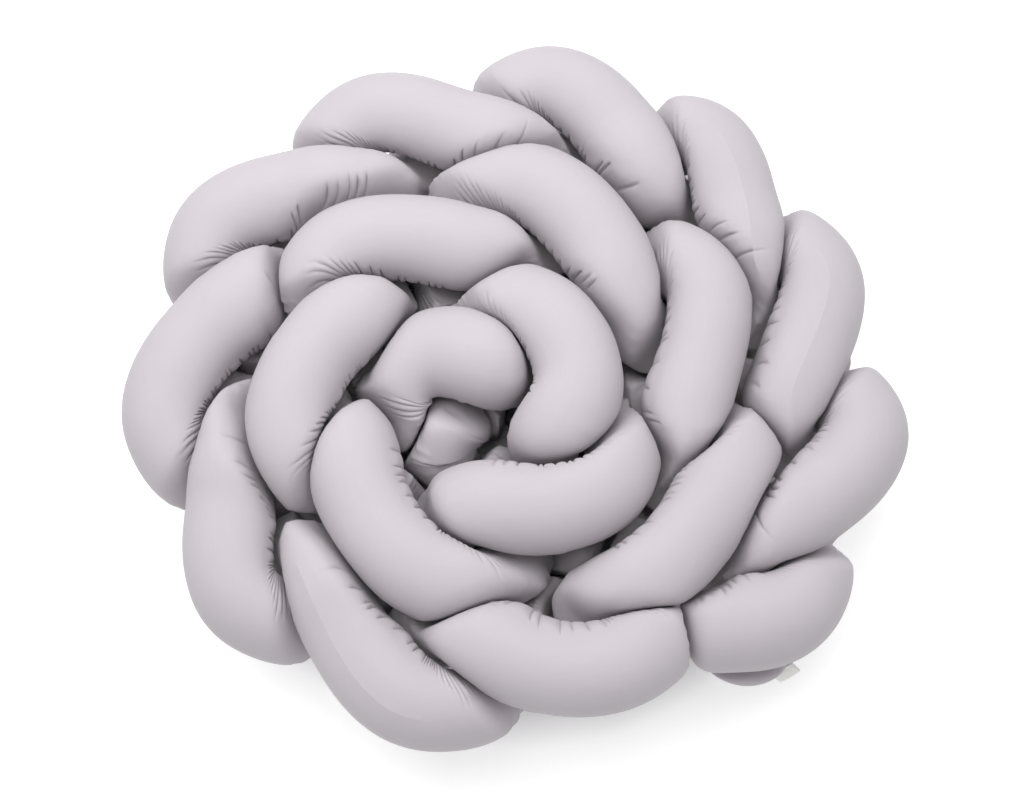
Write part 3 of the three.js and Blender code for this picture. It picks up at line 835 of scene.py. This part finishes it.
class BUMPER_OT_label(bpy.types.Operator):
    """Makes the blank folded label and the stitches that hold it"""

    bl_idname = "bumper.label"
    bl_label = "Label"

    def execute(self, context):
        braid = context.scene.bumper_braid
        sizes = context.scene.bumper_label
        axes = [Axis(braid, strand) for strand in range(len(TUBES))]
        seed = context.scene.bumper_cloth.seed + LABELLED
        mesh, lines, flat_length = label_mesh(sizes, Stuffing(braid, axes, LABELLED, seed))
        mesh.materials.append(ribbon_material(sizes.colour))
        label = add_piece("label_ribbon", mesh)
        solidify = label.modifiers.new("thickness", "SOLIDIFY")
        solidify.thickness = sizes.thickness
        solidify.offset = 0
        applied(label)
        points = np.concatenate(lines)
        count = len(lines[0])
        steps = [(k, k + 1) for start in (0, count) for k in range(start, start + count - 1)]
        seam = bpy.data.meshes.new("label_stitches")
        seam.from_pydata(points, steps, [])
        stitches = add_piece("label_stitches", seam)
        tree, sockets = stitch_tree(thread_material(sizes.colour))
        modifier = stitches.modifiers.new("stitches", "NODES")
        modifier.node_group = tree
        modifier[sockets["Stitch length"]] = sizes.stitch
        modifier[sockets["Stitch gap"]] = sizes.stitch_gap
        modifier[sockets["Thread thickness"]] = sizes.thread
        applied(stitches)
        for piece in (label, stitches):
            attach(piece, BODY)
        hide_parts("label")
        return {"FINISHED"}


def floor_mesh(sizes):
    """A wide matt floor that gives off painted light round the roll, washing out the roll's cast shadow
    there, and none under its middle, so the floor darkens toward the roll.
    """
    mesh = bpy.data.meshes.new("floor")
    low, high = -FLOOR_HALF, FLOOR_HALF
    mesh.from_pydata([(low, low, 0), (high, low, 0), (high, high, 0), (low, high, 0)], [], [(0, 1, 2, 3)])
    paint = bpy.data.materials.new("pale_floor_painted_glow")
    paint.use_nodes = True
    tree = paint.node_tree
    add = node_adder(tree)
    place = add("ShaderNodeTexCoord").outputs["Object"]
    away = add("ShaderNodeVectorMath", {0: place}, operation="LENGTH").outputs["Value"]
    # Painted light: the floor glows more the further it lies from the roll's middle, lifting the roll's
    # shadow out there
    glow = add("ShaderNodeMapRange", {"Value": away, "From Min": sizes.glow_from, "From Max": sizes.glow_full,
                                      "To Max": sizes.floor_glow}).outputs["Result"]
    set_inputs(tree, tree.nodes["Principled BSDF"], {
        "Base Color": (*sizes.floor_colour, 1),
        "Roughness": 0.9,
        "Emission Color": (1, 1, 1, 1),
        "Emission Strength": glow,
    })
    mesh.materials.append(paint)
    return mesh


def soft_sky(sizes):
    """White light from all round, stronger from behind the roll than from in front of it."""
    world = bpy.data.worlds.new("soft_light")
    world.use_nodes = True
    tree = world.node_tree
    add = node_adder(tree)
    direction = add("ShaderNodeTexCoord").outputs["Generated"]
    behind = add("ShaderNodeSeparateXYZ", {"Vector": direction}).outputs["Y"]
    strength = add("ShaderNodeMapRange", {"Value": behind, "From Min": -1, "To Min": sizes.sky_near,
                                          "To Max": sizes.sky_far}).outputs["Result"]
    set_inputs(tree, tree.nodes["Background"], {"Color": (1, 1, 1, 1), "Strength": strength})
    return world


class BUMPER_OT_stage(bpy.types.Operator):
    """Makes the floor, the soft light and the camera"""

    bl_idname = "bumper.stage"
    bl_label = "Stage"

    def execute(self, context):
        sizes = context.scene.bumper_stage
        add_piece("floor", floor_mesh(sizes))
        context.scene.world = soft_sky(sizes)
        lamp = bpy.data.lights.new("softbox", "AREA")
        lamp.energy = sizes.softbox
        lamp.size = sizes.softbox_size
        softbox = add_piece("softbox", lamp)
        softbox.location = sizes.softbox_at
        softbox.rotation_euler = (-softbox.location).to_track_quat("-Z", "Y").to_euler()
        camera = bpy.data.cameras.new("camera")
        camera.sensor_width = SENSOR_WIDTH
        camera.lens = sizes.lens
        viewer = add_piece("camera", camera)
        back = Vector((0, -math.cos(sizes.elevation), math.sin(sizes.elevation)))
        viewer.location = Vector(sizes.target) + back * sizes.distance
        viewer.rotation_euler = (-back).to_track_quat("-Z", "Y").to_euler()
        context.scene.camera = viewer
        context.scene.view_settings.view_transform = "Standard"
        return {"FINISHED"}


class BUMPER_PT_panel(bpy.types.Panel):
    """Lists the bumper's pieces and sizes"""

    bl_label = "Braided crib bumper"
    bl_idname = "BUMPER_PT_panel"
    bl_space_type = "VIEW_3D"
    bl_region_type = "UI"
    bl_category = "Bumper"

    def draw(self, context):
        for group in GROUPS:
            sizes = getattr(context.scene, group)
            box = self.layout.box()
            for name in sizes.bl_rna.properties.keys():
                if name not in ("rna_type", "name"):
                    box.prop(sizes, name)
        for operator in OPERATORS:
            self.layout.operator(operator.bl_idname)


GROUPS = {"bumper_braid": BraidSizes, "bumper_cloth": ClothSizes, "bumper_label": LabelSizes,
          "bumper_stage": StageSizes}
OPERATORS = [BUMPER_OT_tubes, BUMPER_OT_label, BUMPER_OT_stage]


def register():
    for made in (*GROUPS.values(), *OPERATORS, BUMPER_PT_panel):
        bpy.utils.register_class(made)
    for name, group in GROUPS.items():
        setattr(bpy.types.Scene, name, PointerProperty(type=group))


def unregister():
    for name in GROUPS:
        delattr(bpy.types.Scene, name)
    for made in (BUMPER_PT_panel, *reversed(OPERATORS), *reversed(GROUPS.values())):
        bpy.utils.unregister_class(made)


def main():
    register()
    bpy.ops.bumper.tubes()
    bpy.ops.bumper.label()
    bpy.ops.bumper.stage()


if __name__ == "__main__":
    main()
